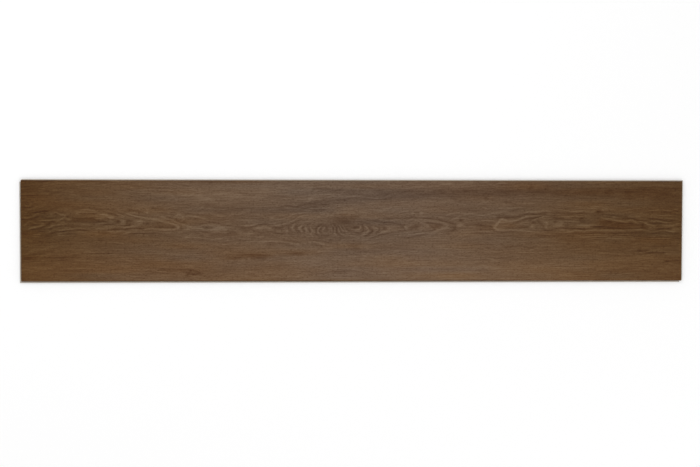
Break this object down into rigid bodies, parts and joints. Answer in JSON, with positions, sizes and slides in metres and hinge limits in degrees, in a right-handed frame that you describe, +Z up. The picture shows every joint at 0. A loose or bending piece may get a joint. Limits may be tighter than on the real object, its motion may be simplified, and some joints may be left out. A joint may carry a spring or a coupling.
{
  "type": "rigid core vinyl plank",
  "caption": "Long flat floor board with a brown oak-grain face, small bevels, and a tongue, groove and locking lip milled along its edges.",
  "frame": {"origin": "on the flat underside, straight below the centre of the decorative face", "axes": "+X along the plank towards the end with the tongue, +Y across it towards the long edge with the tongue, +Z up through the thickness to the decorative face"},
  "size_m": [1.5056, 0.2336, 0.006],
  "materials": {
    "plank": "matte"
  },
  "bodies": {
    "root": {"plank": "plank"}
  },
  "joints": []
}
